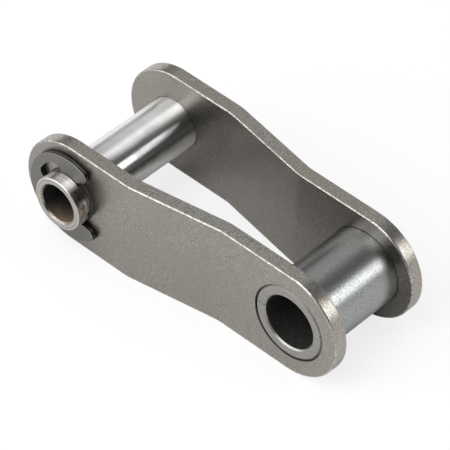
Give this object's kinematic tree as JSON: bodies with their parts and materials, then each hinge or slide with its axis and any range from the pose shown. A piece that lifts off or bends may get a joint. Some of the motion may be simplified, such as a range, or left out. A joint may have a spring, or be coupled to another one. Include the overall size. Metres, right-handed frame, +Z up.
{
  "type": "offset link",
  "caption": "Cranked offset link of a hollow-pin conveyor chain: two bent side plates joined by a curled bush, and a hollow pin held by an E-shaped retaining clip.",
  "frame": {"origin": "on the hollow pin's axis, midway between the two side plates", "axes": "+X from the hollow pin to the bush, +Y along the pin and the bush away from the retaining clip, +Z up with the plates standing on their lower edges"},
  "size_m": [0.0551, 0.0264, 0.0172],
  "materials": {
    "plate_steel": "tumbled",
    "bush_steel": "satin",
    "pin_steel": "ground",
    "clip_steel": "tempered"
  },
  "bodies": {
    "link": {"near_plate": "plate_steel", "far_plate": "plate_steel", "bushing": "bush_steel", "hollow_pin": "pin_steel"},
    "clip": {"retaining_clip": "clip_steel"}
  },
  "joints": [
    {"name": "clip_turn", "type": "hinge", "parent": "link", "child": "clip", "pos_m": [0, -0.01199, 0], "axis": [0, -1, 0], "continuous": true}
  ]
}
